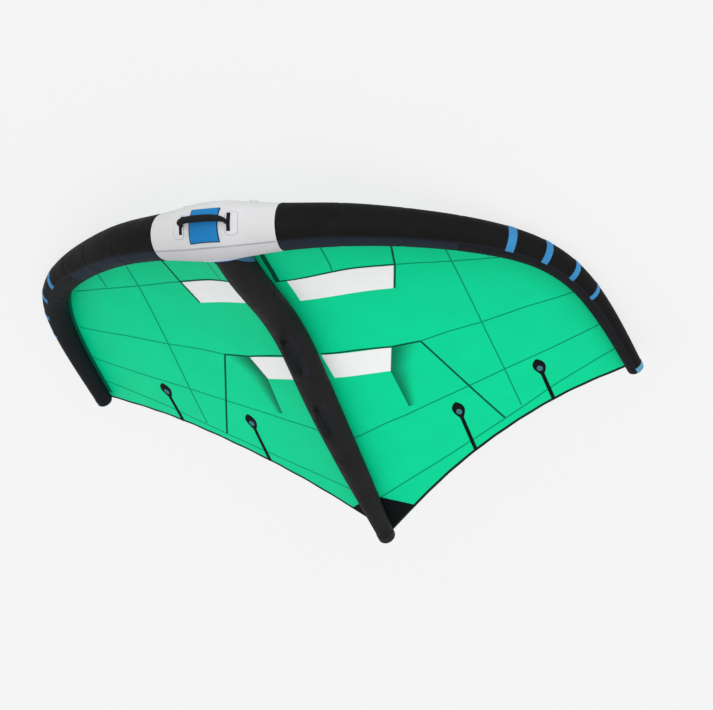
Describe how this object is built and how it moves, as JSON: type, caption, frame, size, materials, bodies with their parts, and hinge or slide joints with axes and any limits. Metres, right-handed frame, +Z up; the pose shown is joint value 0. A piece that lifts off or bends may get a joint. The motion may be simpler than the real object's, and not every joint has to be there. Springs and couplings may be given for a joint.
{
  "type": "inflatable handheld wind wing",
  "caption": "Handheld inflatable wing with an air-filled leading edge and centre strut, panelled canopy with clear windows, and swinging handles",
  "frame": {"origin": "centre of the bounding box at ground level; the wing lies on the canopy side of its leading edge, strut up", "axes": "+X to the wing's left tip, +Y from the leading edge to the trailing edge, +Z up through the strut side"},
  "size_m": [2.7298, 2.2162, 0.5824],
  "materials": {
    "green_ripstop": "smooth woven ripstop sailcloth",
    "clear_film": "clear flexible film",
    "white_sailcloth": "matte woven polyester sailcloth",
    "black_sailcloth": "matte woven polyester sailcloth",
    "bladder_film": "thin airtight film",
    "black_rubber": "moulded foam rubber",
    "black_plastic": "moulded plastic",
    "blue_foam": "moulded foam pad",
    "light_blue_webbing": "woven sailcloth",
    "batten_grey": "glass fibre strip"
  },
  "bodies": {
    "wing": {"air_hose": "black_rubber", "batten_inner_left": "batten_grey", "batten_inner_right": "batten_grey", "batten_outer_left": "batten_grey", "batten_outer_right": "batten_grey", "batten_pocket_inner_left": "black_sailcloth", "batten_pocket_inner_right": "black_sailcloth", "batten_pocket_outer_left": "black_sailcloth", "batten_pocket_outer_right": "black_sailcloth", "canopy_front_panel_left": "green_ripstop", "canopy_front_panel_right": "green_ripstop", "canopy_middle_panel_left": "green_ripstop", "canopy_middle_panel_right": "green_ripstop", "canopy_outer_panel_left": "green_ripstop", "canopy_outer_panel_right": "green_ripstop", "canopy_rear_inner_panel_left": "green_ripstop", "canopy_rear_inner_panel_right": "green_ripstop", "canopy_rear_outer_panel_left": "green_ripstop", "canopy_rear_outer_panel_right": "green_ripstop", "canopy_rear_panel_left": "green_ripstop", "canopy_rear_panel_right": "green_ripstop", "corner_patch_left": "black_sailcloth", "corner_patch_right": "black_sailcloth", "deflate_valve_body": "black_plastic", "front_handle_foot_left": "black_sailcloth", "front_handle_foot_right": "black_sailcloth", "hose_fitting_strut": "black_plastic", "hose_fitting_tube": "black_plastic", "inflate_valve_body": "black_plastic", "knuckle_pad": "blue_foam", "leading_edge_bladder": "bladder_film", "leading_edge_sleeve_centre": "white_sailcloth", "leading_edge_sleeve_inner_left": "black_sailcloth", "leading_edge_sleeve_inner_right": "black_sailcloth", "leading_edge_sleeve_middle_left": "black_sailcloth", "leading_edge_sleeve_middle_right": "black_sailcloth", "leading_edge_sleeve_outer_left": "black_sailcloth", "leading_edge_sleeve_outer_right": "black_sailcloth", "lower_window_left": "clear_film", "lower_window_right": "clear_film", "strut_bladder": "bladder_film", "strut_collar": "light_blue_webbing", "strut_front_handle_foot_front": "black_sailcloth", "strut_front_handle_foot_rear": "black_sailcloth", "strut_rear_handle_foot_front": "black_sailcloth", "strut_rear_handle_foot_rear": "black_sailcloth", "strut_sleeve": "black_sailcloth", "strut_tail_cap": "black_rubber", "tip_cap_left": "light_blue_webbing", "tip_cap_right": "light_blue_webbing", "trailing_edge_hem_left": "black_sailcloth", "trailing_edge_hem_right": "black_sailcloth", "upper_window_left": "clear_film", "upper_window_right": "clear_film"},
    "front_handle": {"front_handle_grip": "black_rubber"},
    "strut_front_handle": {"strut_front_handle_grip": "black_rubber"},
    "strut_rear_handle": {"strut_rear_handle_grip": "black_rubber"},
    "inflate_cap": {"inflate_valve_cap": "black_plastic"},
    "deflate_cap": {"deflate_valve_cap": "black_plastic"}
  },
  "joints": [
    {"name": "front_handle_swing", "type": "hinge", "parent": "wing", "child": "front_handle", "pos_m": [0, -1.04501, 0.34855], "axis": [1, 0, 0], "range_deg": [-60, 40], "stiffness_Nm_per_rad": 1},
    {"name": "strut_front_handle_swing", "type": "hinge", "parent": "wing", "child": "strut_front_handle", "pos_m": [0, -0.11363, 0.38848], "axis": [0, 0.9885, 0.1514], "range_deg": [-30, 75], "stiffness_Nm_per_rad": 1},
    {"name": "strut_rear_handle_swing", "type": "hinge", "parent": "wing", "child": "strut_rear_handle", "pos_m": [0, 0.2729, 0.46686], "axis": [0, 0.981, 0.1939], "range_deg": [-30, 75], "stiffness_Nm_per_rad": 1},
    {"name": "inflate_cap_hinge", "type": "hinge", "parent": "wing", "child": "inflate_cap", "pos_m": [0.15097, -0.93739, 0.17536], "axis": [0.9679, 0.2502, -0.025], "range_deg": [0, 150]},
    {"name": "deflate_cap_hinge", "type": "hinge", "parent": "wing", "child": "deflate_cap", "pos_m": [-0.15097, -0.93739, 0.17536], "axis": [0.9679, -0.2502, 0.025], "range_deg": [0, 150]}
  ]
}
